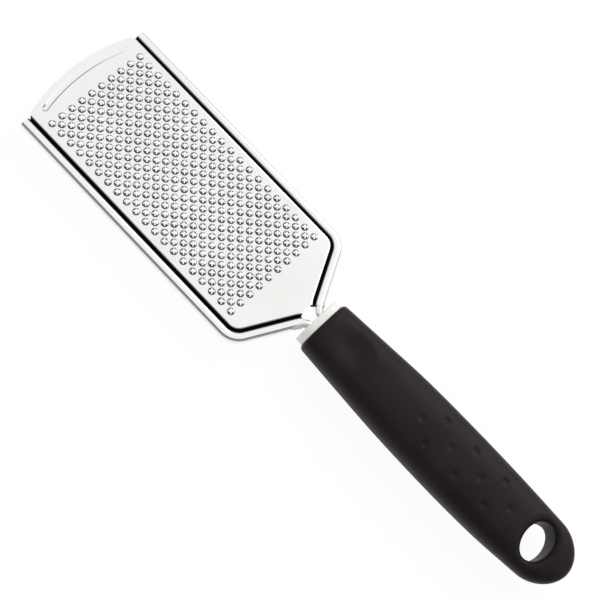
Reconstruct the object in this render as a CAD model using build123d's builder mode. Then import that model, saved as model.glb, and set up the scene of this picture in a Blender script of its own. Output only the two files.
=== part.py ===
from build123d import *
from math import cos, degrees, radians, sin, tan
import os

os.makedirs("parts", exist_ok=True)

# Flat hand grater. X runs from the blade's front (-X) to the hanging end (+X),
# Y is across and Z is up. Lengths are in millimetres, and the origin lies on
# the surface that the handle rests on, under the middle of the tool.

# Main layout along the tool
overall_length = 250.0
collar_setback = 1.91  # neck corner of the wire's centre line to the collar's front face
collar_length = 3.0
wire_height = 7.94  # the wire's centre line above the resting surface

# Frame wire
wire_diameter = 3.2
wire_half_spread = 27.35  # middle of the tool to the wire's centre line
wire_corner_setback = 112.1  # front tip to the corner of the wire's centre line
shoulder_angle = 62.5  # slant of the shoulders from the tool's axis, degrees
shoulder_radius = 7.6
neck_radius = 6.5
tang_half_gap = 2.4  # middle of the tool to a leg's centre line in the handle
tang_eye_setback = 57.7  # middle of the hanging hole to the start of the eye
tang_eye_length = 18.0
tang_eye_half_width = 6.0
tang_eye_radius = 5.0
tang_flare_radius = 4.0

# Blade sheet
sheet_thickness = 0.5
plate_rise = 2.4  # wire's centre line to the plate's top face
front_bulge = 4.4  # depth of the arched front edge
rim_setback = 5.0  # front tip to the front end of the rolled edge
rim_end_half_width = 6.0  # where the rolled edge stops in the neck
roll_clearance = 0.05  # between the wire and the sheet rolled round it
roll_end_angle = -40.0  # where the sheet's free edge stops under the wire
crease_gap = 0.4  # open width at the foot of the crease beside the roll
crease_bend_radius = 0.5
notch_setback = 0.96  # where the slanted edges would meet to the blade's rear corners
notch_depth = 0.5
groove_setback = 3.5  # front edge to the pressed groove's middle line
groove_side_margin = 5.6  # side of the flat plate to the end of the groove's middle line
groove_width = 2.3
groove_depth = 0.3

# Crown teeth
tooth_first_setback = 12.1  # front tip to the first column of teeth
tooth_pitch_along = 4.87
tooth_pitch_across = 4.65
tooth_side_margin = 2.6  # least width of plain plate beside the outer rows' middles
tooth_rear_margin = 5.5  # least length from the last column to the shoulder corner
tooth_base_diameter = 2.9
tooth_tip_diameter = 2.2
tooth_height = 0.9
tooth_hole_width = 1.75

# Handle: sections at shares of its length, measured from the wire's centre line
handle_half_width = 13.7
handle_rise = 11.4  # wire's centre line to the highest part of the top
underside_dip = 0.04  # the smooth underside swells this far below its sections
handle_station_shares = (0.0, 0.155, 0.3375, 0.55, 0.733, 0.896)
handle_width_shares = (0.803, 0.887, 0.974, 1.0, 0.974, 0.898)
handle_top_shares = (0.78, 0.868, 0.974, 1.0, 1.0, 0.965)
handle_bottom_shares = (0.962, 0.987, 1.0, 0.994, 0.835, 0.329)
tail_last_angle = 82.0  # round the hanging end, degrees
tail_steps = 6
tail_height_share = 0.6  # power that keeps the hanging end blunt from the side
section_share = 2.5  # power of the rounded section, 2 being an ellipse
section_points = 24
grip_front_rounding = 1.2

# Collar, with a spigot that plugs into the handle core
collar_inset = 1.2  # the grip's front outline to the collar's outline
collar_rounding = 0.6
spigot_length = 5.0
spigot_side_wall = 1.2  # beside the two wires
spigot_top_wall = 1.8  # above and below them

# Handle core, walls measured from the tang inside it
core_side_wall = 0.9
core_top_wall = 3.4
core_end_wall = 11.4
core_rounding = 3.0
fit_clearance = 0.05

# Hanging hole, thumb dish and dimples
hole_setback = 15.3  # hanging end to the hole's middle
hole_length = 10.7  # along the tool
hole_width = 15.4
hole_top_flare = 2.6
hole_bottom_flare = 1.5
dish_setback = 13.5  # grip's front face to the thumb dish's middle
dish_radius = 19.0
dish_depth = 1.6
dimple_last_setback = 15.05  # middle of the hanging hole to the last dimple
dimple_pitch = 14.25
dimple_count = 4
dimple_row_spacing = 5.8
dimple_ball_radius = 2.3
dimple_depth = 0.6
cut_overrun = 1.0

# Places worked out from the sizes above
front_tip = -overall_length / 2
hanging_end = overall_length / 2
plate_top = wire_height + plate_rise
plate_bottom = plate_top - sheet_thickness
wire_radius = wire_diameter / 2
roll_mid_radius = wire_radius + roll_clearance + sheet_thickness / 2
crease_mid_radius = (crease_gap + sheet_thickness) / 2
flank_offset = roll_mid_radius + 2 * crease_mid_radius
plate_offset = flank_offset - sheet_thickness / 2
wire_corner_x = front_tip + wire_corner_setback
shoulder_slope = tan(radians(shoulder_angle))
hole_middle = hanging_end - hole_setback
tang_eye_start = hole_middle - tang_eye_setback
tang_end = tang_eye_start + tang_eye_length + wire_radius


def shoulder_x(half_width, offset=0.0):
    """Place along the tool of the slanted line that lies offset inside the wire."""
    inset = offset / sin(radians(shoulder_angle))
    return wire_corner_x + (wire_half_spread - half_width) / shoulder_slope - inset


collar_front = shoulder_x(tang_half_gap) + collar_setback
grip_front = collar_front + collar_length
grip_length = hanging_end - grip_front

# Frame wire: a hairpin of one round wire
leg_bends = (
    (wire_corner_x, wire_half_spread),
    (shoulder_x(tang_half_gap), tang_half_gap),
    (tang_eye_start, tang_half_gap),
    (tang_eye_start + tang_eye_half_width, tang_eye_half_width),
    (tang_eye_start + tang_eye_length, tang_eye_half_width),
)
leg_radii = (shoulder_radius, neck_radius, tang_flare_radius, tang_flare_radius, tang_eye_radius)
wire_start = (front_tip + rim_setback + wire_radius, wire_half_spread)

with BuildLine(Plane.XY.offset(wire_height)) as wire_line:
    FilletPolyline(
        wire_start,
        *leg_bends,
        *[(x, -y) for x, y in reversed(leg_bends)],
        (wire_start[0], -wire_start[1]),
        radius=[*leg_radii, *reversed(leg_radii)],
    )

wire_end_plane = Plane(origin=wire_line.line @ 0, z_dir=wire_line.line % 0)

with BuildPart() as frame_wire:
    with BuildSketch(wire_end_plane):
        Circle(wire_radius)
    sweep(path=wire_line.line)

with BuildPart() as wire_channel:
    with BuildSketch(wire_end_plane):
        Circle(wire_radius + fit_clearance)
    sweep(path=wire_line.line)


# Blade: the rolled edge is one sheet profile carried along each side and shoulder
rim_start = (front_tip + rim_setback, wire_half_spread)
with BuildLine(Plane.XY.offset(wire_height)) as rim_line:
    FilletPolyline(
        rim_start,
        (wire_corner_x, wire_half_spread),
        (shoulder_x(rim_end_half_width), rim_end_half_width),
        radius=shoulder_radius,
    )

rim_plane = Plane(origin=rim_line.line @ 0, x_dir=(0, -1, 0), z_dir=(-1, 0, 0))
plate_mid_height = plate_rise - sheet_thickness / 2
plate_lap = 2 * sheet_thickness

with BuildPart() as rolled_rim:
    with BuildSketch(rim_plane):
        with BuildLine():
            lap = Line(
                (flank_offset + crease_bend_radius + plate_lap, plate_mid_height),
                (flank_offset + crease_bend_radius, plate_mid_height),
            )
            bend = RadiusArc(
                lap @ 1,
                (flank_offset, plate_mid_height - crease_bend_radius),
                -crease_bend_radius,
            )
            flank = Line(bend @ 1, (flank_offset, 0))
            turn = ThreePointArc(
                flank @ 1,
                (flank_offset - crease_mid_radius, -crease_mid_radius),
                (roll_mid_radius, 0),
            )
            CenterArc((0, 0), roll_mid_radius, 0, 360 + roll_end_angle)
        trace(line_width=sheet_thickness)
    sweep(path=rim_line.line)

plate_half_width = wire_half_spread - plate_offset
notch_corner_x = shoulder_x(0, plate_offset) - notch_setback
notch_half_width = notch_setback * shoulder_slope
front_radius = (plate_half_width**2 + front_bulge**2) / (2 * front_bulge)
groove_radius = front_radius - groove_setback
groove_angle = degrees((plate_half_width - groove_side_margin) / groove_radius)
tooth_run = wire_corner_setback - tooth_rear_margin - tooth_first_setback
tooth_columns = 1 + int(tooth_run / tooth_pitch_along)
tooth_rows = 1 + int(2 * (plate_half_width - tooth_side_margin) / tooth_pitch_across)
tooth_middle = front_tip + tooth_first_setback + (tooth_columns - 1) * tooth_pitch_along / 2
tooth_fields = ((tooth_columns, tooth_rows), (tooth_columns - 1, tooth_rows - 1))

with BuildLine(Plane.XY.offset(plate_top)) as groove_line:
    CenterArc(
        (front_tip + front_radius, 0),
        groove_radius,
        180 - groove_angle,
        2 * groove_angle,
    )

with BuildPart() as blade:
    with BuildSketch(Plane.XY.offset(plate_bottom)):
        with BuildLine():
            side = FilletPolyline(
                (front_tip + front_bulge, plate_half_width),
                (shoulder_x(plate_half_width, plate_offset), plate_half_width),
                (notch_corner_x, notch_half_width),
                radius=shoulder_radius - plate_offset,
            )
            mirror(side, about=Plane.XZ)
            ThreePointArc(
                (notch_corner_x, notch_half_width),
                (notch_corner_x - notch_depth, 0),
                (notch_corner_x, -notch_half_width),
            )
            ThreePointArc(
                (front_tip + front_bulge, plate_half_width),
                (front_tip, 0),
                (front_tip + front_bulge, -plate_half_width),
            )
        make_face()
    extrude(amount=sheet_thickness)
    with BuildSketch(Plane.XY.offset(plate_bottom - groove_depth)):
        SlotArc(groove_line.line.edge(), groove_width + sheet_thickness)
    extrude(amount=groove_depth)
    with BuildSketch(Plane.XY.offset(plate_top)):
        SlotArc(groove_line.line.edge(), groove_width)
    extrude(amount=-groove_depth, mode=Mode.SUBTRACT)
    add(rolled_rim.part)
    mirror(rolled_rim.part, about=Plane.XZ)
    # Crown teeth: a low cone round each square hole leaves four points on its flats
    for columns, rows in tooth_fields:
        with Locations((tooth_middle, 0, plate_top)):
            with GridLocations(tooth_pitch_along, tooth_pitch_across, columns, rows):
                Cone(
                    tooth_base_diameter / 2,
                    tooth_tip_diameter / 2,
                    tooth_height,
                    align=(Align.CENTER, Align.CENTER, Align.MIN),
                )
    with BuildSketch(Plane.XY.offset(plate_bottom)):
        with Locations((tooth_middle, 0)):
            for columns, rows in tooth_fields:
                with GridLocations(tooth_pitch_along, tooth_pitch_across, columns, rows):
                    Rectangle(tooth_hole_width, tooth_hole_width)
    extrude(amount=sheet_thickness + tooth_height, mode=Mode.SUBTRACT, clean=False)

blade.part.label = "blade"
frame_wire.part.label = "frame_wire"


# Handle: rounded sections lofted from the grip's front face round to the hanging end
handle_stations = [share * grip_length for share in handle_station_shares]
handle_half_widths = [share * handle_half_width for share in handle_width_shares]
handle_tops = [share * handle_rise for share in handle_top_shares]
handle_bottoms = [share * (underside_dip - wire_height) for share in handle_bottom_shares]


def section_outline(half_width, bottom, top):
    """Points round one section, in the section's own across and up directions."""
    middle, half_height = (top + bottom) / 2, (top - bottom) / 2
    points = []
    for step in range(section_points):
        turn = radians(360 * step / section_points)
        across = abs(cos(turn)) ** (2 / section_share)
        up = abs(sin(turn)) ** (2 / section_share)
        points.append(
            (
                half_width * (across if cos(turn) >= 0 else -across),
                wire_height + middle + half_height * (up if sin(turn) >= 0 else -up),
            )
        )
    return points


def at_station(x, values):
    """Value at a place along the tool, straight between the stations and on past the last."""
    station = x - grip_front
    for before, after, low, high in zip(handle_stations, handle_stations[1:], values, values[1:]):
        if station <= after:
            break
    return low + (high - low) * (station - before) / (after - before)


def surface_height(x, y, values):
    """Height of the handle's top or underside above one point of the plan."""
    middle = (at_station(x, handle_tops) + at_station(x, handle_bottoms)) / 2
    reach = 1 - (abs(y) / at_station(x, handle_half_widths)) ** section_share
    return wire_height + middle + (at_station(x, values) - middle) * reach ** (1 / section_share)


tail_length = grip_length - handle_stations[-1]
body_sections = list(zip(handle_stations, handle_half_widths, handle_bottoms, handle_tops))
tail_sections = []
for step in range(tail_steps + 1):
    angle = radians(tail_last_angle * step / tail_steps)
    station = handle_stations[-1] + tail_length * sin(angle) / sin(radians(tail_last_angle))
    x = grip_front + station
    middle = (at_station(x, handle_tops) + at_station(x, handle_bottoms)) / 2
    half_height = (at_station(x, handle_tops) - middle) * cos(angle) ** tail_height_share
    half_width = at_station(x, handle_half_widths) * cos(angle)
    tail_sections.append((station, half_width, middle - half_height, middle + half_height))

with BuildPart() as handle_form:
    for sections in (body_sections, tail_sections):
        for station, half_width, bottom, top in sections:
            with BuildSketch(Plane.YZ.offset(grip_front + station)):
                with BuildLine():
                    Spline(*section_outline(half_width, bottom, top), periodic=True)
                make_face()
        loft()
    fillet(handle_form.faces().sort_by(Axis.X)[0].edges(), grip_front_rounding)

core_width = 2 * (tang_eye_half_width + wire_radius + core_side_wall)
with BuildPart() as core_form:
    with BuildSketch(Plane.YZ.offset(grip_front)):
        with Locations((0, wire_height)):
            RectangleRounded(core_width, wire_diameter + 2 * core_top_wall, core_rounding)
    extrude(amount=tang_end + core_end_wall - grip_front)

spigot_width = 2 * (tang_half_gap + wire_radius + spigot_side_wall)
spigot_height = wire_diameter + 2 * spigot_top_wall
spigot_plane = Plane.YZ.offset(grip_front)
with BuildPart() as handle_core:
    add(core_form.part)
    with BuildSketch(spigot_plane):
        with Locations((0, wire_height)):
            RectangleRounded(
                spigot_width + 2 * fit_clearance,
                spigot_height + 2 * fit_clearance,
                core_rounding,
            )
    extrude(amount=spigot_length + fit_clearance, mode=Mode.SUBTRACT)
    add(wire_channel.part, mode=Mode.SUBTRACT)
handle_core.part.label = "handle_core"

with BuildPart() as collar:
    with BuildSketch(Plane.YZ.offset(collar_front)):
        with BuildLine():
            Spline(
                *section_outline(
                    handle_half_widths[0] - collar_inset,
                    handle_bottoms[0] + collar_inset,
                    handle_tops[0] - collar_inset,
                ),
                periodic=True,
            )
        make_face()
    extrude(amount=collar_length)
    fillet(collar.faces().sort_by(Axis.X)[0].edges(), collar_rounding)
    with BuildSketch(spigot_plane):
        with Locations((0, wire_height)):
            RectangleRounded(spigot_width, spigot_height, core_rounding)
    extrude(amount=spigot_length)
    add(wire_channel.part, mode=Mode.SUBTRACT)
collar.part.label = "collar"

hole_mouths = ((handle_tops, 1, hole_top_flare), (handle_bottoms, -1, hole_bottom_flare))
dish_middle = grip_front + dish_setback
dimple_first = hole_middle - dimple_last_setback - (dimple_count - 1) * dimple_pitch
dimple_rows = ((-1, dimple_count - 1), (0, dimple_count), (1, dimple_count - 1))

with BuildPart() as grip:
    add(handle_form.part)
    add(core_form.part, mode=Mode.SUBTRACT)
    with BuildSketch(Plane.XY):
        with Locations((hole_middle, 0)):
            Ellipse(hole_length / 2, hole_width / 2)
    extrude(amount=wire_height + handle_tops[-1] + cut_overrun, mode=Mode.SUBTRACT)
    for values, direction, flare in hole_mouths:
        mouth = surface_height(hole_middle, 0, values)
        with BuildSketch(Plane.XY.offset(mouth - direction * flare)):
            with Locations((hole_middle, 0)):
                Ellipse(hole_length / 2, hole_width / 2)
        with BuildSketch(Plane.XY.offset(mouth + direction * cut_overrun)):
            with Locations((hole_middle, 0)):
                Ellipse(
                    hole_length / 2 + flare + cut_overrun,
                    hole_width / 2 + flare + cut_overrun,
                )
        loft(ruled=True, mode=Mode.SUBTRACT)
    with Locations((dish_middle, 0, surface_height(dish_middle, 0, handle_tops) - dish_depth)):
        Sphere(dish_radius, align=(Align.CENTER, Align.CENTER, Align.MIN), mode=Mode.SUBTRACT)
    for row, count in dimple_rows:
        for step in range(count):
            x = dimple_first + ((dimple_count - count) / 2 + step) * dimple_pitch
            y = row * dimple_row_spacing
            with Locations((x, y, surface_height(x, y, handle_tops) - dimple_depth)):
                Sphere(
                    dimple_ball_radius,
                    align=(Align.CENTER, Align.CENTER, Align.MIN),
                    mode=Mode.SUBTRACT,
                )
grip.part.label = "grip"

for piece in (blade, frame_wire, collar, handle_core, grip):
    export_step(piece.part, f"parts/{piece.part.label}.step")
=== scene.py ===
import math
import random

import bmesh
import bpy
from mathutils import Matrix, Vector


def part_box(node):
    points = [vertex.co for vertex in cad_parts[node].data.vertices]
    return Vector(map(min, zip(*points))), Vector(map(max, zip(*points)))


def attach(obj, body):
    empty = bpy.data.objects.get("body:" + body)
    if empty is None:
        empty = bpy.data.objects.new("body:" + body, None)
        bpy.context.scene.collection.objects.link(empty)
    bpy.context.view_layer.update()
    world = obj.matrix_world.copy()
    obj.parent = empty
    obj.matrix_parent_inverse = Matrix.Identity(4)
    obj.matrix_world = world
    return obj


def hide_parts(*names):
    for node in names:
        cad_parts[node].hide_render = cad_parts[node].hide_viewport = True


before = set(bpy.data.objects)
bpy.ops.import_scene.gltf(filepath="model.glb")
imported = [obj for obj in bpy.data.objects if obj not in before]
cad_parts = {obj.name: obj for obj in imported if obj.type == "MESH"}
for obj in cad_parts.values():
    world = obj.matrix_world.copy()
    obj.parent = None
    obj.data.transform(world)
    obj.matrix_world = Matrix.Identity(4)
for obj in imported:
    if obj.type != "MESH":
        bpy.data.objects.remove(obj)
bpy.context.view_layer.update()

mm = 0.001
scene = bpy.context.scene
scene.view_settings.view_transform = "Standard"
print("frame loaded:", ", ".join(sorted(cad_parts)))

# Camera at the photograph's angle, places in millimetres
view = {
    "place": (18.65, -120.12, 368.21),
    "turn": (15.77, -10.714, 45.341),  # degrees about X, Y and Z
    "lens": 63.96,
    "sensor": 36,
    "nearClip": 0.01,  # metres
}

cameraData = bpy.data.cameras.new("camera")
cameraData.lens = view["lens"]
cameraData.sensor_width = view["sensor"]
cameraData.clip_start = view["nearClip"]
camera = bpy.data.objects.new("camera", cameraData)
camera.location = Vector(view["place"]) * mm
camera.rotation_euler = [math.radians(angle) for angle in view["turn"]]
scene.collection.objects.link(camera)
scene.camera = camera
print("camera set")


# Shader maths: a Value wraps one socket, and Python's own operators add the Math nodes
class Value:
    def __init__(self, shader, socket):
        self.shader = shader
        self.socket = socket

    def maths(self, operation, *others):
        inputs = dict(enumerate((self, *others)))
        return self.shader.node("ShaderNodeMath", {"operation": operation}, inputs)

    def __add__(self, other):
        return self.maths("ADD", other)

    def __sub__(self, other):
        return self.maths("SUBTRACT", other)

    def __rsub__(self, other):
        return self.shader.number(other).maths("SUBTRACT", self)

    def __mul__(self, other):
        return self.maths("MULTIPLY", other)

    def __truediv__(self, other):
        return self.maths("DIVIDE", other)

    def __pow__(self, other):
        return self.maths("POWER", other)

    __radd__ = __add__

    def between(self, low, high):  # eases from 0 at low to 1 at high
        return self.shader.node(
            "ShaderNodeMapRange",
            {"interpolation_type": "SMOOTHSTEP"},
            {"Value": self, "From Min": low, "From Max": high},
        )


class Shader:
    def __init__(self, owner):
        owner.use_nodes = True
        self.tree = owner.node_tree
        self.nodes = self.tree.nodes

    def node(self, kind, settings={}, inputs={}, output=0):
        made = self.nodes.new(kind)
        for key, setting in settings.items():
            setattr(made, key, setting)
        for key, value in inputs.items():
            self.feed(made.inputs[key], value)
        return Value(self, made.outputs[output])

    def feed(self, socket, value):
        if isinstance(value, Value):
            self.tree.links.new(value.socket, socket)
        elif isinstance(value, tuple) and len(value) == 3 and socket.type == "RGBA":
            socket.default_value = (*value, 1)
        else:
            socket.default_value = value

    def number(self, value):
        return self.node("ShaderNodeMath", {"operation": "ADD"}, {0: value, 1: 0.0})

    def mix(self, first, second, factor):  # the colour sockets are 6, 7 and 2
        mixed = self.nodes.new("ShaderNodeMix")
        mixed.data_type = "RGBA"
        self.feed(mixed.inputs["Factor"], factor)
        self.feed(mixed.inputs[6], first)
        self.feed(mixed.inputs[7], second)
        return Value(self, mixed.outputs[2])

    def noise(self, scale, stretch=(1, 1, 1), roughness=0.5, detail=3):
        place = self.node("ShaderNodeTexCoord", output="Object")
        mapped = self.node("ShaderNodeMapping", inputs={"Vector": place, "Scale": stretch})
        return self.node(
            "ShaderNodeTexNoise",
            inputs={"Vector": mapped, "Scale": scale, "Detail": detail, "Roughness": roughness},
        )

    def streaks(self, scale, stretch):  # a rougher noise, drawn out along the tool
        return self.noise(scale, stretch, roughness=0.6)

    def bump(self, height, distance, strength):
        return self.node(
            "ShaderNodeBump",
            inputs={"Height": height, "Distance": distance, "Strength": strength},
        )

    def attribute(self, name):
        return self.node("ShaderNodeAttribute", {"attribute_name": name}, output="Fac")


def newMaterial(name, **inputs):
    material = bpy.data.materials.new(name)
    shader = Shader(material)
    shader.surface = shader.nodes["Principled BSDF"]
    for key, value in inputs.items():
        shader.feed(shader.surface.inputs[key.replace("_", " ")], value)
    return material, shader


# Satin sheet: fine rolling lines along the tool, crowns shinier than the plate and darkened as
# painted shade for their dark reflections, with near-black painted shade at the teeth's feet and
# on the groove's rear wall
sheetFinish = {
    "colour": (0.885, 0.88, 0.865),
    "dull": (0.855, 0.85, 0.835),
    # crown colours darkened below the plate's as painted shade for the crowns' dark reflections;
    # each tooth's tone lies between them at random
    "crownColour": (0.66, 0.68, 0.675),
    "crownDark": (0.36, 0.38, 0.38),
    # near-black painted shade for the teeth's feet and the groove's rear wall
    "foot": (0.025, 0.028, 0.028),
    "roughness": 0.20,
    "crownRoughness": 0.10,
    "cloudScale": 60,
    "cloudRange": (0.3, 0.6),
    "lineScale": 30,
    "lineStretch": (1, 60, 60),
    "lineSpread": 0.12,  # of roughness, here and below
    "lineDepth": 0.00001,
    "lineStrength": 0.25,
}


def makeSheetSteel():
    material, shader = newMaterial("sheetSteel", Metallic=1.0)
    crown = shader.attribute("crown")
    tone = shader.attribute("tone")
    cloud = shader.noise(sheetFinish["cloudScale"]).between(*sheetFinish["cloudRange"])
    lines = shader.streaks(sheetFinish["lineScale"], sheetFinish["lineStretch"])
    plate = shader.mix(sheetFinish["dull"], sheetFinish["colour"], cloud)
    # the crowns' darkened colours are painted shade; the tone between them varies at random from
    # tooth to tooth
    metal = shader.mix(sheetFinish["crownDark"], sheetFinish["crownColour"], tone)
    # painted shade at the teeth's feet and on the groove's rear wall
    metal = shader.mix(metal, sheetFinish["foot"], shader.attribute("foot"))
    shader.feed(shader.surface.inputs["Base Color"], shader.mix(plate, metal, crown))
    drop = sheetFinish["roughness"] - sheetFinish["crownRoughness"]
    shader.feed(
        shader.surface.inputs["Roughness"],
        sheetFinish["roughness"] + (lines - 0.5) * sheetFinish["lineSpread"] - crown * drop,
    )
    grain = shader.bump(lines, sheetFinish["lineDepth"], sheetFinish["lineStrength"])
    shader.feed(shader.surface.inputs["Normal"], grain)
    return material


# Bright rolled edges: the foot of the crease and the roll's inner flank carry black painted
# shade, the bead almost a mirror
rimFinish = {
    "colour": (0.88, 0.885, 0.88),
    # black painted shade for the crease and the roll's inner flank
    "crease": (0.004, 0.004, 0.004),
    "roughness": 0.10,
    "streakScale": 25,
    "streakStretch": (1, 8, 8),
    "streakSpread": 0.08,
    "creaseSpread": 0.7,
    "specular": 0.1,
}


def makeRimSteel():
    material, shader = newMaterial("rimSteel")
    # mask of the black painted shade in the crease and on the roll's inner flank
    crease = shader.attribute("crease")
    streaks = shader.streaks(rimFinish["streakScale"], rimFinish["streakStretch"])
    shader.feed(
        shader.surface.inputs["Base Color"],
        shader.mix(rimFinish["colour"], rimFinish["crease"], crease),
    )
    shader.feed(shader.surface.inputs["Metallic"], 1 - crease)
    rough = rimFinish["roughness"] + streaks * rimFinish["streakSpread"]
    rough = rough + crease * rimFinish["creaseSpread"]
    shader.feed(shader.surface.inputs["Roughness"], rough)
    shader.surface.inputs["Specular IOR Level"].default_value = rimFinish["specular"]
    return material


# Polished wire
wireFinish = {
    "colour": (0.88, 0.885, 0.88),
    "dull": (0.80, 0.80, 0.80),
    "roughness": 0.08,
    "drawScale": 70,
    "drawStretch": (1, 3, 3),
    "drawRange": (0.35, 0.6),
    "drawSpread": 0.10,
}


def makeWireSteel():
    material, shader = newMaterial("wireSteel", Metallic=1.0)
    draw = shader.streaks(wireFinish["drawScale"], wireFinish["drawStretch"])
    shade = draw.between(*wireFinish["drawRange"])
    shader.feed(
        shader.surface.inputs["Base Color"],
        shader.mix(wireFinish["dull"], wireFinish["colour"], shade),
    )
    rough = wireFinish["roughness"] + draw * wireFinish["drawSpread"]
    shader.feed(shader.surface.inputs["Roughness"], rough)
    return material


# Cream plastic, slightly glossy, with a faint moulded mottle
creamFinish = {
    "colour": (0.96, 0.945, 0.895),
    "shade": (0.94, 0.92, 0.86),
    "roughness": 0.34,
    "mottleScale": 250,
    "mottleRange": (0.35, 0.6),
    "mottleSpread": 0.1,
    "mottleDepth": 0.00002,
    "mottleStrength": 0.2,
}


def makeCreamPlastic(name):
    material, shader = newMaterial(name)
    mottle = shader.noise(creamFinish["mottleScale"])
    shade = mottle.between(*creamFinish["mottleRange"])
    shader.feed(
        shader.surface.inputs["Base Color"],
        shader.mix(creamFinish["shade"], creamFinish["colour"], shade),
    )
    rough = creamFinish["roughness"] + mottle * creamFinish["mottleSpread"]
    shader.feed(shader.surface.inputs["Roughness"], rough)
    grain = shader.bump(mottle, creamFinish["mottleDepth"], creamFinish["mottleStrength"])
    shader.feed(shader.surface.inputs["Normal"], grain)
    return material


# Soft black skin: a fine grain, a faint warm cast and slightly shinier worn places
gripFinish = {
    "colour": (0.013, 0.009, 0.011),
    "warm": (0.018, 0.012, 0.014),
    "roughness": 0.46,
    "specular": 0.12,
    "cloudScale": 45,
    "cloudRange": (0.35, 0.65),
    "cloudSpread": 0.14,
    "grainScale": 2600,
    "grainDetail": 2,
    "grainSpread": 0.10,
    "grainDepth": 0.00003,
    "grainStrength": 0.35,
}


def makeGripRubber():
    material, shader = newMaterial("gripRubber")
    cloud = shader.noise(gripFinish["cloudScale"])
    grain = shader.noise(gripFinish["grainScale"], detail=gripFinish["grainDetail"])
    warmth = cloud.between(*gripFinish["cloudRange"])
    shader.feed(
        shader.surface.inputs["Base Color"],
        shader.mix(gripFinish["colour"], gripFinish["warm"], warmth),
    )
    rough = gripFinish["roughness"] + (cloud - 0.5) * gripFinish["cloudSpread"]
    rough = rough + (grain - 0.5) * gripFinish["grainSpread"]
    shader.feed(shader.surface.inputs["Roughness"], rough)
    texture = shader.bump(grain, gripFinish["grainDepth"], gripFinish["grainStrength"])
    shader.feed(shader.surface.inputs["Normal"], texture)
    shader.surface.inputs["Specular IOR Level"].default_value = gripFinish["specular"]
    return material


sheetSteel = makeSheetSteel()
rimSteel = makeRimSteel()
wireSteel = makeWireSteel()
creamPlastic = makeCreamPlastic("creamPlastic")
corePlastic = makeCreamPlastic("corePlastic")
gripRubber = makeGripRubber()
print("materials made")


# Mesh helpers: every piece is modelled in millimetres and finished in metres
def ringEdges(bm, ring):
    return [bm.edges.get(pair) for pair in zip(ring, ring[1:] + ring[:1])]


def growEdges(bm, edges):
    grown = bmesh.ops.extrude_edge_only(bm, edges=edges)["geom"]
    fresh = {item for item in grown if isinstance(item, bmesh.types.BMVert)}
    return grown, fresh


def partnerOf(vert, fresh):
    others = [edge.other_vert(vert) for edge in vert.link_edges]
    return next(other for other in others if other in fresh)


def growRing(bm, ring):
    fresh = growEdges(bm, ringEdges(bm, ring))[1]
    return [partnerOf(vert, fresh) for vert in ring]


def loftRings(bm, rings):
    ring = bmesh.ops.create_circle(bm, segments=len(rings[0]), radius=1)["verts"]
    lofted = []
    for index, places in enumerate(rings):
        if index:
            ring = growRing(bm, ring)
        for vert, place in zip(ring, places):
            vert.co = place
        lofted.append(ring)
    return lofted


def capRing(bm, ring):
    bmesh.ops.edgeloop_fill(bm, edges=ringEdges(bm, ring))


def finishPiece(bm, name, material, replaced, sharpAngle=35):
    bmesh.ops.recalc_face_normals(bm, faces=bm.faces)
    bmesh.ops.scale(bm, vec=(mm, mm, mm), verts=bm.verts)
    mesh = bpy.data.meshes.new(name)
    bm.to_mesh(mesh)
    bm.free()
    mesh.materials.append(material)
    mesh.shade_smooth()
    mesh.set_sharp_from_angle(angle=math.radians(sharpAngle))
    piece = bpy.data.objects.new(name, mesh)
    scene.collection.objects.link(piece)
    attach(piece, "root")
    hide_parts(replaced)
    print(name, "has", len(mesh.polygons), "faces")


def pointing(degrees):
    angle = math.radians(degrees)
    return Vector((math.cos(angle), math.sin(angle)))


def arcPoints(centre, radius, start, end, steps):  # degrees, both ends included
    turns = [start + (end - start) * step / steps for step in range(steps + 1)]
    return [Vector(centre) + radius * pointing(turn) for turn in turns]


def arcRadius(halfChord, rise):
    return (halfChord**2 + rise**2) / (2 * rise)


# The wire's line, which the rolled edges and the plate's outline follow
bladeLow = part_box("blade")[0]
wireLow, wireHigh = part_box("frame_wire")
frameLine = {
    "front": bladeLow.x / mm,
    "height": (wireLow.z + wireHigh.z) / 2 / mm,
    "halfSpread": 27.35,
    "cornerSetback": 112.1,  # front tip to the line's corner
    "shoulderAngle": 62.5,
    "shoulderRadius": 7.6,
    "cornerSteps": 14,
    "neckHalfSpread": 2.4,
    "neckRadius": 6.5,
}
lineCornerX = frameLine["front"] + frameLine["cornerSetback"]
shoulderTurn = math.radians(frameLine["shoulderAngle"])


def shoulderStations(offset):
    # Points and headings round the shoulder, offset inwards from the wire's line
    radius = frameLine["shoulderRadius"]
    centreX = lineCornerX - radius * math.tan(shoulderTurn / 2)
    centreY = frameLine["halfSpread"] - radius
    stations = []
    for step in range(frameLine["cornerSteps"] + 1):
        heading = -shoulderTurn * step / frameLine["cornerSteps"]
        reach = radius - offset
        x = centreX - reach * math.sin(heading)
        y = centreY + reach * math.cos(heading)
        stations.append((x, y, heading))
    return stations


def neckStations(offset):
    # On round the start of the neck's bend, as far as the rolled edge goes
    radius = frameLine["neckRadius"]
    drop = frameLine["halfSpread"] - frameLine["neckHalfSpread"]
    cornerX = lineCornerX + drop / math.tan(shoulderTurn)
    centreX = cornerX + radius * math.tan(shoulderTurn / 2)
    centreY = frameLine["neckHalfSpread"] + radius
    stations = []
    for step in range(rim["neckSteps"] + 1):
        heading = rim["neckReach"] / radius * step / rim["neckSteps"] - shoulderTurn
        reach = radius + offset
        x = centreX + reach * math.sin(heading)
        y = centreY - reach * math.cos(heading)
        stations.append((x, y, heading))
    return stations


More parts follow.
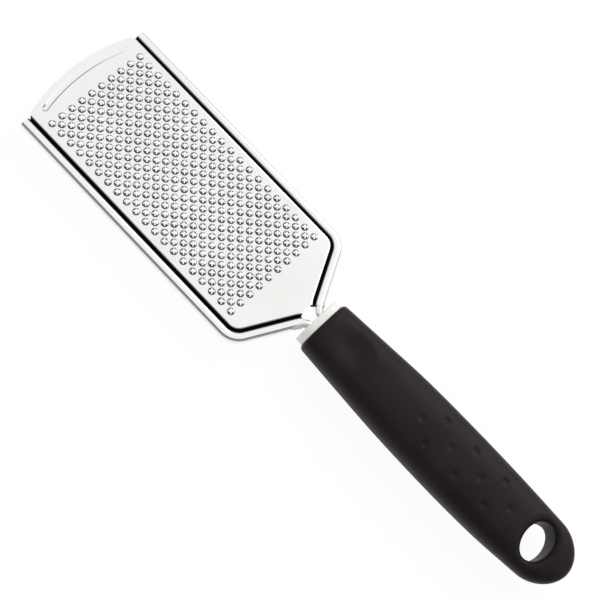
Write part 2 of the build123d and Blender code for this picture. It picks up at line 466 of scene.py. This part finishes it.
# Rolled edges: one sheet section carried along each side and shoulder
rim = {
    "sheet": 0.5,
    "plateRise": 2.4,
    "rollRadius": 1.9,  # middle of the sheet
    "creaseRadius": 0.45,
    "bendRadius": 0.5,
    "bendSteps": 6,
    "creaseSteps": 8,
    "rollSteps": 40,
    "blackFrom": 2,  # steps of the bend, from where the black painted shade comes in to where it is full
    "blackTo": 4,
    "rollEnd": 320,  # degrees round the wire
    "frontSetback": 5.0,
    "neckReach": 1.8,  # how far the rolled edge goes on round the neck's bend
    "neckSteps": 4,
    "creaseFrom": 52,  # degrees round the roll where the black painted shade ends
    "creaseTo": 60,
}
plateMiddle = rim["plateRise"] - rim["sheet"] / 2
flankOffset = rim["rollRadius"] + 2 * rim["creaseRadius"]
plateOffset = flankOffset + rim["bendRadius"]


def sheetMiddleLine():
    # Middle of the sheet, from the plate round to the free edge: point, normal and strength of
    # the black painted shade
    line = [(Vector((plateOffset, plateMiddle)), Vector((0, 1)), 0.0)]
    bendCentre = Vector((plateOffset, plateMiddle - rim["bendRadius"]))
    for step in range(1, rim["bendSteps"] + 1):
        normal = pointing(90 + 90 * step / rim["bendSteps"])
        black = max(0, step - rim["blackFrom"]) / (rim["blackTo"] - rim["blackFrom"])
        line.append((bendCentre + rim["bendRadius"] * normal, normal, min(1, black)))
    turnCentre = Vector((flankOffset - rim["creaseRadius"], 0))
    for step in range(rim["creaseSteps"] + 1):
        outward = pointing(-180 * step / rim["creaseSteps"])
        line.append((turnCentre + rim["creaseRadius"] * outward, -outward, 1.0))
    for step in range(1, rim["rollSteps"] + 1):
        turned = rim["rollEnd"] * step / rim["rollSteps"]
        normal = pointing(turned)
        black = (rim["creaseTo"] - turned) / (rim["creaseTo"] - rim["creaseFrom"])
        line.append((rim["rollRadius"] * normal, normal, min(1, max(0, black))))
    return line


def makeRims():
    bm = bmesh.new()
    blackness = bm.verts.layers.float.new("crease")
    middle = sheetMiddleLine()
    half = rim["sheet"] / 2
    section = [(point + half * normal, black) for point, normal, black in middle]
    section += [(point - half * normal, black) for point, normal, black in reversed(middle)]
    stations = shoulderStations(0) + neckStations(0)
    startX = frameLine["front"] + rim["frontSetback"]
    stations.insert(0, (startX, frameLine["halfSpread"], 0.0))
    rings = []
    for x, y, heading in stations:
        inward = Vector((math.sin(heading), -math.cos(heading), 0))
        centre = Vector((x, y, frameLine["height"]))
        ring = [centre + inward * point.x + Vector((0, 0, point.y)) for point, black in section]
        rings.append(ring)
    lofted = loftRings(bm, rings)
    for ring in lofted:
        for vert, (point, black) in zip(ring, section):
            vert[blackness] = black
    capRing(bm, lofted[0])
    capRing(bm, lofted[-1])
    bmesh.ops.mirror(bm, geom=bm.verts[:] + bm.edges[:] + bm.faces[:], axis="Y", merge_dist=0)
    finishPiece(bm, "rolledEdges", rimSteel, "blade")


makeRims()


# Plate with its pressed groove and 371 crown teeth, one closed sheet
plate = {
    "frontBulge": 4.4,
    "bulgeHalfWidth": 24.8,
    "frontSteps": 24,
    "notchDepth": 0.4,
    "notchSteps": 6,
    "grooveSetback": 3.5,
    "grooveHalfReach": 19.2,
    "grooveSteps": 36,
    "grooveEndSteps": 10,
    # strength of the painted shade on the groove's rear wall, fading along the groove
    "grooveDark": 0.85,
    "grooveFade": 14.0,
    "grooveEndFrom": 0.92,  # share of its half reach where the painted shade of the rounded end begins
    "grooveTop": [(1.15, 0.0), (1.06, -0.03), (0.72, -0.29), (0.62, -0.32)],  # half width, depth
    "grooveBottom": [(1.40, -0.50), (1.26, -0.54), (0.90, -0.78), (0.74, -0.80)],
}
tooth = {
    "firstSetback": 12.1,
    "pitchAlong": 4.87,
    "pitchAcross": 4.65,
    "columns": 20,
    "rows": 10,
    "petals": 4,
    "segments": 16,
    "baseRadius": 1.44,
    "footRadius": 1.39,
    "footHeight": 0.07,
    # the painted shade on the foot and shoulder rings varies at random from this share up to full
    "footFaint": 0.6,
    "shoulderRadius": 1.20,
    "shoulderHeight": 0.34,
    "tipRadius": 0.46,
    "tipHeight": 0.86,
    "betweenRadius": 0.72,
    "betweenHeight": 0.56,
    "notchRadius": 1.12,
    "notchHeight": 0.26,
    "jitter": 0.10,
    "seed": 5,
}
frontRadius = arcRadius(plate["bulgeHalfWidth"], plate["frontBulge"])
frontCentre = (frameLine["front"] + frontRadius, 0)
plateTop = frameLine["height"] + rim["plateRise"]


def plateOutline():
    # One half runs from the front corner to the notch corner, the other half mirrors it
    plateHalf = frameLine["halfSpread"] - plateOffset
    corner = math.degrees(math.asin(plateHalf / frontRadius))
    front = arcPoints(frontCentre, frontRadius, 180, 180 - corner, plate["frontSteps"])
    stations = shoulderStations(plateOffset) + neckStations(plateOffset)
    side = [Vector(station[:2]) for station in stations]
    notchX, notchHalf = side[-1]
    notchRadius = arcRadius(notchHalf, plate["notchDepth"])
    notchAngle = math.degrees(math.asin(notchHalf / notchRadius))
    notchCentre = (notchX - plate["notchDepth"] + notchRadius, 0)
    notch = arcPoints(notchCentre, notchRadius, 180 - notchAngle, 180, plate["notchSteps"])
    half = front + side[:-1] + notch
    mirrored = [Vector((point.x, -point.y)) for point in reversed(half[1:-1])]
    return half + mirrored


def grooveOutline(halfWidth):
    radius = frontRadius - plate["grooveSetback"]
    reach = math.degrees(plate["grooveHalfReach"] / radius)
    near, far = 180 + reach, 180 - reach
    outer = arcPoints(frontCentre, radius + halfWidth, far, near, plate["grooveSteps"])
    inner = arcPoints(frontCentre, radius - halfWidth, near, far, plate["grooveSteps"])
    ends = []
    for turn, start in ((near, near), (far, far + 180)):
        middle = Vector(frontCentre) + radius * pointing(turn)
        end = arcPoints(middle, halfWidth, start, start + 180, plate["grooveEndSteps"])
        ends.append(end[1:-1])
    return outer + ends[0] + inner + ends[1]


def grooveShade(place):
    # Painted shade on the rear wall and near end, fading out towards the far end
    inside = (place.to_2d() - Vector(frontCentre)).length < frontRadius - plate["grooveSetback"]
    rounded = place.y < -plate["grooveHalfReach"] * plate["grooveEndFrom"]
    fade = min(1, max(0, (plate["grooveHalfReach"] - place.y) / plate["grooveFade"]))
    return plate["grooveDark"] * fade if inside or rounded else 0.0


def toothPlaces():
    # 20 columns of 10, then the 19 columns of 9 that stand between them
    middle = tooth["firstSetback"] + (tooth["columns"] - 1) * tooth["pitchAlong"] / 2
    for fewer in (0, 1):
        columns, rows = tooth["columns"] - fewer, tooth["rows"] - fewer
        for column in range(columns):
            along = (column - (columns - 1) / 2) * tooth["pitchAlong"]
            for row in range(rows):
                across = (row - (rows - 1) / 2) * tooth["pitchAcross"]
                yield frameLine["front"] + middle + along, across


def toothRings(chance):
    # Base, foot, shoulder, torn star edge and underside; each petal is bent a little differently
    rings = [[], [], [], [], []]
    petals, lifts = (
        [1 + tooth["jitter"] * chance.uniform(-1, 1) for petal in range(tooth["petals"])]
        for kind in range(2)
    )
    quarter = tooth["segments"] // tooth["petals"]
    for step in range(tooth["segments"]):
        angle = 2 * math.pi * step / tooth["segments"]
        reach = Vector((math.cos(angle), math.sin(angle), 0))
        petal = ((step + quarter // 2) // quarter) % tooth["petals"]
        place = step % quarter
        if place == 0:
            radius, height = tooth["tipRadius"] * petals[petal], tooth["tipHeight"] * lifts[petal]
        elif place == quarter // 2:
            radius, height = tooth["notchRadius"], tooth["notchHeight"]
        else:
            radius, height = tooth["betweenRadius"] * petals[petal], tooth["betweenHeight"]
        rings[0].append(reach * tooth["baseRadius"])
        rings[1].append(reach * tooth["footRadius"] + Vector((0, 0, tooth["footHeight"])))
        rings[2].append(reach * tooth["shoulderRadius"] + Vector((0, 0, tooth["shoulderHeight"])))
        rings[3].append(reach * radius + Vector((0, 0, height)))
        rings[4].append(reach * tooth["baseRadius"] - Vector((0, 0, rim["sheet"])))
    return rings


def fillLevel(bm, level, tolerance=1e-4):
    edges = []
    for edge in bm.edges:
        flat = all(abs(vert.co.z - level) < tolerance for vert in edge.verts)
        if flat and len(edge.link_faces) < 2:
            edges.append(edge)
    bmesh.ops.triangle_fill(bm, edges=edges, use_beauty=True, use_dissolve=False)


def makeSheet():
    bm = bmesh.new()
    crown = bm.verts.layers.float.new("crown")
    tone = bm.verts.layers.float.new("tone")
    foot = bm.verts.layers.float.new("foot")
    chance = random.Random(tooth["seed"])
    for x, y in toothPlaces():
        base = Vector((x, y, plateTop))
        rings = [[base + place for place in ring] for ring in toothRings(chance)]
        brightness = chance.uniform(0, 1)
        for index, ring in enumerate(loftRings(bm, rings)):
            for vert in ring:  # 1 is the foot, 2 the shoulder and 3 the torn edge
                vert[crown] = 1.0 if index in (1, 2, 3) else 0.0
                vert[tone] = brightness
                # painted shade on the foot and shoulder rings, at a random strength per vertex
                vert[foot] = chance.uniform(tooth["footFaint"], 1) if index in (1, 2) else 0.0
    for shapes in (plate["grooveTop"], plate["grooveBottom"]):
        loops = []
        for halfWidth, depth in shapes:
            level = Vector((0, 0, plateTop + depth))
            loops.append([point.to_3d() + level for point in grooveOutline(halfWidth)])
        lofted = loftRings(bm, loops)
        if shapes is plate["grooveTop"]:
            # the groove's walls take the darkened crown colour and near-black painted shade
            for ring in lofted[1:3]:
                for vert in ring:
                    vert[crown] = vert[foot] = grooveShade(vert.co)
        fillLevel(bm, plateTop + shapes[-1][1])
    outline = [point.to_3d() for point in plateOutline()]
    levels = (plateTop, plateTop - rim["sheet"])
    loftRings(bm, [[point + Vector((0, 0, level)) for point in outline] for level in levels])
    for level in levels:
        fillLevel(bm, level)
    finishPiece(bm, "toothedSheet", sheetSteel, "blade", sharpAngle=24)


makeSheet()


# Grip: rounded sections from the front face round to the hanging end
gripLow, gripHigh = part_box("grip")
grip = {
    "front": gripLow.x / mm,
    "end": gripHigh.x / mm,
    "stations": (0, 0.155, 0.3375, 0.55, 0.733, 0.896),  # shares of the length
    "halfWidths": (11.0, 12.15, 13.35, 13.7, 13.35, 12.3),
    "tops": (8.9, 9.9, 11.1, 11.4, 11.4, 11.0),
    "undersides": (-7.57, -7.77, -7.87, -7.82, -6.6, -2.6),
    "tailHeightPower": 0.6,
    "tailSteps": 26,
    "sectionPower": 2.5,
    "segments": 160,
    "frontRounding": 1.6,
    "frontSteps": 5,
    "tailTurn": 88.5,  # degrees, just short of the tip
    "mergeDistance": 0.01,
    "step": 0.66,
    "fineStep": 0.42,
    "fineFrom": 44.0,
    "fineTo": 95.0,
}
hole = {
    "middle": 109.7,
    "halfLength": 5.35,
    "halfWidth": 7.7,
    "topFlare": 2.9,
    "underFlare": 1.6,
    "mouthSteps": 7,
    "clearTo": 1.02,  # squared shares of the mouth: skin cleared, then rims looked for
    "lookTo": 2,
}
dish = {"middle": 18.5, "halfLength": 9.8, "halfWidth": 8.2, "depth": 1.5}
dimple = {
    "first": 51.9,
    "pitch": 14.25,
    "count": 4,
    "rowSpacing": 5.8,
    "radius": 1.6,
    "depth": 0.66,
    "power": 1.25,
}
gripLength = grip["end"] - grip["front"]
tailStart = grip["front"] + grip["stations"][-1] * gripLength


def smoothThrough(places, values, at):
    last = len(places) - 1

    def slope(index):
        before, after = max(index - 1, 0), min(index + 1, last)
        return (values[after] - values[before]) / (places[after] - places[before])

    if at >= places[last]:
        return values[last] + slope(last) * (at - places[last])
    index = max(i for i in range(last) if i == 0 or places[i] <= at)
    span = places[index + 1] - places[index]
    share = (at - places[index]) / span
    rise = values[index + 1] - values[index]
    start, end = slope(index) * span, slope(index + 1) * span
    curve = (3 - 2 * share) * share**2 * rise
    return values[index] + curve + share * (1 - share) * ((1 - share) * start - share * end)


def gripAt(x):
    # Half width, middle height and half height of the section at one place along the tool
    station = (x - grip["front"]) / gripLength
    halfWidth = smoothThrough(grip["stations"], grip["halfWidths"], station)
    top = smoothThrough(grip["stations"], grip["tops"], station) + frameLine["height"]
    under = smoothThrough(grip["stations"], grip["undersides"], station) + frameLine["height"]
    halfHeight = (top - under) / 2
    if x > tailStart:
        along = min(1, (x - tailStart) / (grip["end"] - tailStart))
        taper = math.sqrt(max(0, 1 - along**2))
        halfWidth *= taper
        halfHeight *= taper ** grip["tailHeightPower"]
    return halfWidth, (top + under) / 2, halfHeight


def squared(share):  # turns a circle's sine or cosine into the section's
    return math.copysign(abs(share) ** (2 / grip["sectionPower"]), share)


def gripRing(x, inset=0.0):
    halfWidth, middle, halfHeight = gripAt(x)
    ring = []
    for step in range(grip["segments"]):
        turn = 2 * math.pi * step / grip["segments"]
        across = (halfWidth - inset) * squared(math.cos(turn))
        up = (halfHeight - inset) * squared(math.sin(turn))
        ring.append(Vector((x, across, middle + up)))
    return ring


def skinHeight(x, y, side):
    halfWidth, middle, halfHeight = gripAt(x)
    reach = max(0, 1 - (abs(y) / halfWidth) ** grip["sectionPower"])
    return middle + side * halfHeight * reach ** (1 / grip["sectionPower"])


def pressedDepth(x, y):
    # Thumb dish and dimples, as depths below the plain skin
    away = ((x - dish["middle"]) / dish["halfLength"]) ** 2 + (y / dish["halfWidth"]) ** 2
    depth = dish["depth"] * max(0, 1 - away) ** 2
    for row in (-1, 0, 1):
        count = dimple["count"] - abs(row)
        first = dimple["first"] + (dimple["count"] - count) / 2 * dimple["pitch"]
        for step in range(count):
            away = math.hypot(x - first - step * dimple["pitch"], y - row * dimple["rowSpacing"])
            if away < dimple["radius"]:
                share = 1 - (away / dimple["radius"]) ** 2
                depth += dimple["depth"] * share ** dimple["power"]
    return depth


def openMouth(bm, side, flare):
    # Clears the skin over the hole on one side and rolls its edge down into the wall
    reachX, reachY = hole["halfLength"] + flare, hole["halfWidth"] + flare
    middleHeight = gripAt(hole["middle"])[1]

    def away(vert):
        return ((vert.co.x - hole["middle"]) / reachX) ** 2 + (vert.co.y / reachY) ** 2

    doomed = []
    for face in bm.faces:
        near = any(away(vert) < hole["clearTo"] for vert in face.verts)
        if near and (face.calc_center_median().z - middleHeight) * side > 0:
            doomed.append(face)
    bmesh.ops.delete(bm, geom=doomed, context="FACES")
    edges = []
    for edge in bm.edges:
        onSide = (edge.verts[0].co.z - middleHeight) * side > 0
        if len(edge.link_faces) == 1 and onSide and away(edge.verts[0]) < hole["lookTo"]:
            edges.append(edge)
    angles = {}
    for edge in edges:
        for vert in edge.verts:
            angles[vert] = math.atan2(vert.co.y / reachY, (vert.co.x - hole["middle"]) / reachX)
    for step in range(hole["mouthSteps"] + 1):
        turn = math.radians(90 * step / hole["mouthSteps"])
        grown, fresh = growEdges(bm, edges)
        edges = [item for item in grown if isinstance(item, bmesh.types.BMEdge)]
        edges = [edge for edge in edges if all(vert in fresh for vert in edge.verts)]
        moved = {}
        for vert, angle in angles.items():
            partner = partnerOf(vert, fresh)
            spread = flare * (1 - math.sin(turn))
            x = hole["middle"] + (hole["halfLength"] + spread) * math.cos(angle)
            y = (hole["halfWidth"] + spread) * math.sin(angle)
            drop = flare * (1 - math.cos(turn))
            partner.co = Vector((x, y, skinHeight(x, y, side) - side * drop))
            moved[partner] = angle
        angles = moved
    return edges


def makeGrip():
    bm = bmesh.new()
    rings = []
    rounding = grip["frontRounding"]
    for step in range(grip["frontSteps"] + 1):
        turn = math.radians(90 * step / grip["frontSteps"])
        x = grip["front"] + rounding * (1 - math.cos(turn))
        rings.append(gripRing(x, rounding * (1 - math.sin(turn))))
    x = grip["front"] + rounding
    while x < tailStart - grip["fineStep"]:
        x += grip["fineStep"] if grip["fineFrom"] < x < grip["fineTo"] else grip["step"]
        rings.append(gripRing(min(x, tailStart)))
    for step in range(1, grip["tailSteps"] + 1):
        angle = math.radians(grip["tailTurn"] * step / grip["tailSteps"])
        rings.append(gripRing(tailStart + (grip["end"] - tailStart) * math.sin(angle)))
    lofted = loftRings(bm, rings)
    capRing(bm, lofted[0])
    capRing(bm, lofted[-1])
    for vert in bm.verts:
        if vert.co.z > gripAt(vert.co.x)[1]:
            vert.co.z -= pressedDepth(vert.co.x, vert.co.y)
    walls = openMouth(bm, 1, hole["topFlare"]) + openMouth(bm, -1, hole["underFlare"])
    bmesh.ops.bridge_loops(bm, edges=walls)
    bmesh.ops.remove_doubles(bm, verts=bm.verts, dist=grip["mergeDistance"])
    finishPiece(bm, "softGrip", gripRubber, "grip", sharpAngle=50)


makeGrip()


# Carried-over pieces keep their CAD shape and get their finish
carried = {"frame_wire": wireSteel, "collar": creamPlastic, "handle_core": corePlastic}
for node, material in carried.items():
    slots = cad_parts[node].data.materials
    slots.clear()
    slots.append(material)
print("carried-over pieces dressed")


# Studio: plain white floor, one large soft lamp and a white surround. Gloss also sees the
# surround's dark horizon and its dark side
studio = {
    "floorSize": 6.0,
    "floorGlow": 0.93,
    "floorFaint": 0.09,
    "floorColour": 0.85,
    "skyStrength": 0.66,
    "lampPlace": (0.10, 0.86, 0.62),
    "lampSize": 0.9,
    "lampPower": 4.6,
    "horizon": (0.10, 0.16),  # sine of the height where the dark horizon gives way
    "sideEdge": (0.35, 0.60),  # cosine of the turn away from the dark side's middle
    "sideTop": (0.78, 0.82),  # sines of the height, as for the horizon
    "sideGreyTop": (0.64, 0.69),
    "sideTurn": 27,  # degrees from -Y towards the handle
    "sideGrey": (0.27, 0.30, 0.295),
    "leastLevel": 0.0001,  # keeps the surround's division finite straight overhead
    "black": (0.012, 0.012, 0.012),
    "white": (1.0, 1.0, 1.0),
}


def rayKinds(shader):
    path = shader.nodes.new("ShaderNodeLightPath")
    eye, glossy, through = (
        Value(shader, path.outputs[name])
        for name in ("Is Camera Ray", "Is Glossy Ray", "Is Transmission Ray")
    )
    return glossy, eye.maths("MAXIMUM", glossy).maths("MAXIMUM", through)


def makeFloor():
    bm = bmesh.new()
    bmesh.ops.create_grid(bm, x_segments=1, y_segments=1, size=studio["floorSize"] / 2)
    mesh = bpy.data.meshes.new("floor")
    bm.to_mesh(mesh)
    bm.free()
    material = bpy.data.materials.new("floorWhite")
    shader = Shader(material)
    shader.nodes.clear()
    seen = rayKinds(shader)[1]
    full, faint = (
        shader.node("ShaderNodeBsdfDiffuse", inputs={"Color": (grey, grey, grey)})
        for grey in (studio["floorColour"], studio["floorFaint"])
    )
    glow = shader.node("ShaderNodeEmission", inputs={"Strength": studio["floorGlow"]})
    white = shader.node("ShaderNodeAddShader", inputs={0: faint, 1: glow})
    both = shader.node("ShaderNodeMixShader", inputs={0: seen, 1: full, 2: white})
    output = shader.nodes.new("ShaderNodeOutputMaterial")
    shader.feed(output.inputs["Surface"], both)
    mesh.materials.append(material)
    floor = bpy.data.objects.new("floor", mesh)
    scene.collection.objects.link(floor)


def makeSurround():
    world = bpy.data.worlds.new("surround")
    scene.world = world
    shader = Shader(world)
    glossy, seen = rayKinds(shader)
    direction = shader.node("ShaderNodeTexCoord", output="Generated")
    parts = shader.nodes.new("ShaderNodeSeparateXYZ")
    shader.feed(parts.inputs[0], direction)
    east, north, up = (Value(shader, parts.outputs[index]) for index in range(3))
    level = (1 - up * up).maths("MAXIMUM", studio["leastLevel"]) ** 0.5
    turn = math.radians(studio["sideTurn"])
    facing = (east * math.sin(turn) - north * math.cos(turn)) / level
    side = facing.between(*studio["sideEdge"])
    greyTop = up.between(*studio["sideGreyTop"])
    black = side * greyTop * (1 - up.between(*studio["sideTop"]))
    black = black.maths("MAXIMUM", (1 - side) * (1 - up.between(*studio["horizon"])))
    colour = shader.mix(studio["white"], studio["sideGrey"], side * (1 - greyTop))
    colour = shader.mix(colour, studio["black"], black)
    background = shader.nodes["Background"]
    shader.feed(background.inputs["Color"], shader.mix(studio["white"], colour, glossy))
    sky = studio["skyStrength"]
    shader.feed(background.inputs["Strength"], sky + seen * (1 - sky))


def makeLamp():
    lampData = bpy.data.lights.new("softBox", "AREA")
    lampData.shape = "DISK"
    lampData.size = studio["lampSize"]
    lampData.energy = studio["lampPower"]
    lamp = bpy.data.objects.new("softBox", lampData)
    lamp.location = studio["lampPlace"]
    lamp.rotation_euler = (-Vector(studio["lampPlace"])).to_track_quat("-Z", "Y").to_euler()
    scene.collection.objects.link(lamp)


makeFloor()
makeSurround()
makeLamp()
print("studio made")
